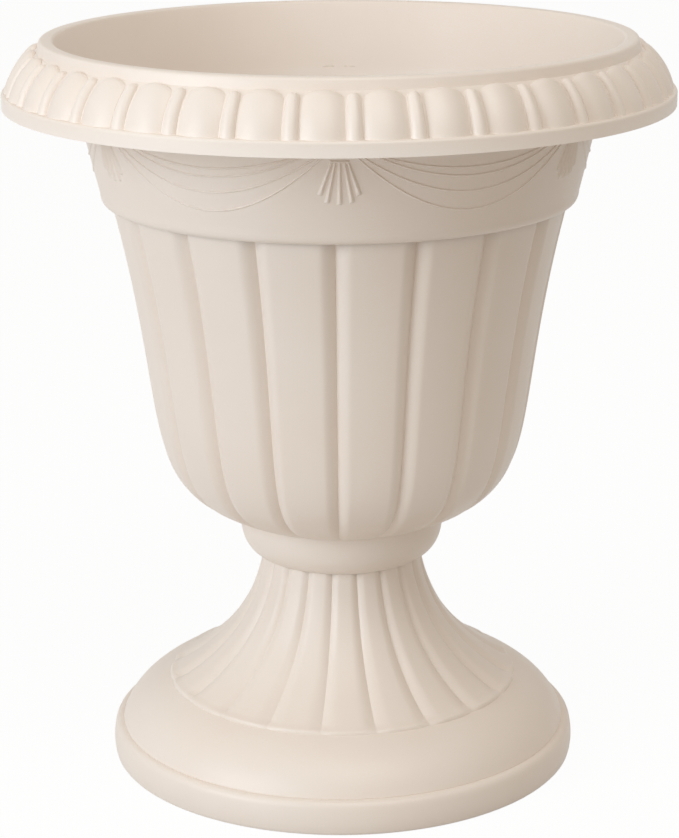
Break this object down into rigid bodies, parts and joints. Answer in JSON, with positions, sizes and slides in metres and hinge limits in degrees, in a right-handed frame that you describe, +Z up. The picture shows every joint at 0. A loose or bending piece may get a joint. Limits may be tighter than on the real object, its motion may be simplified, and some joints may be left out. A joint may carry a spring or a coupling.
{
  "type": "urn planter",
  "caption": "Classical urn planter: fluted bowl with an egg-and-dart rim and swagged band that lifts off a hollow fluted pedestal, with push-in drain plugs.",
  "frame": {"origin": "middle of the base, on the floor it stands on", "axes": "+Z up along the urn's axis; the front, with one swag end, faces -Y"},
  "size_m": [0.4064, 0.4064, 0.4572],
  "materials": {
    "urn_plastic": "satin moulded resin in one cream sand colour all through",
    "plug_rubber": "matt soft rubber"
  },
  "bodies": {
    "pedestal": {"pedestal": "urn_plastic"},
    "bowl": {"bowl": "urn_plastic"},
    "drain_plug_1": {"drain_plug_1": "plug_rubber"},
    "drain_plug_2": {"drain_plug_2": "plug_rubber"},
    "drain_plug_3": {"drain_plug_3": "plug_rubber"}
  },
  "joints": [
    {"name": "bowl_lift", "type": "slide", "parent": "pedestal", "child": "bowl", "axis": [0, 0, 1], "range_m": [0, 0.06]},
    {"name": "drain_plug_1_pull", "type": "slide", "parent": "bowl", "child": "drain_plug_1", "axis": [0, 0, 1], "range_m": [0, 0.32]},
    {"name": "drain_plug_2_pull", "type": "slide", "parent": "bowl", "child": "drain_plug_2", "axis": [0, 0, 1], "range_m": [0, 0.32]},
    {"name": "drain_plug_3_pull", "type": "slide", "parent": "bowl", "child": "drain_plug_3", "axis": [0, 0, 1], "range_m": [0, 0.32]}
  ]
}
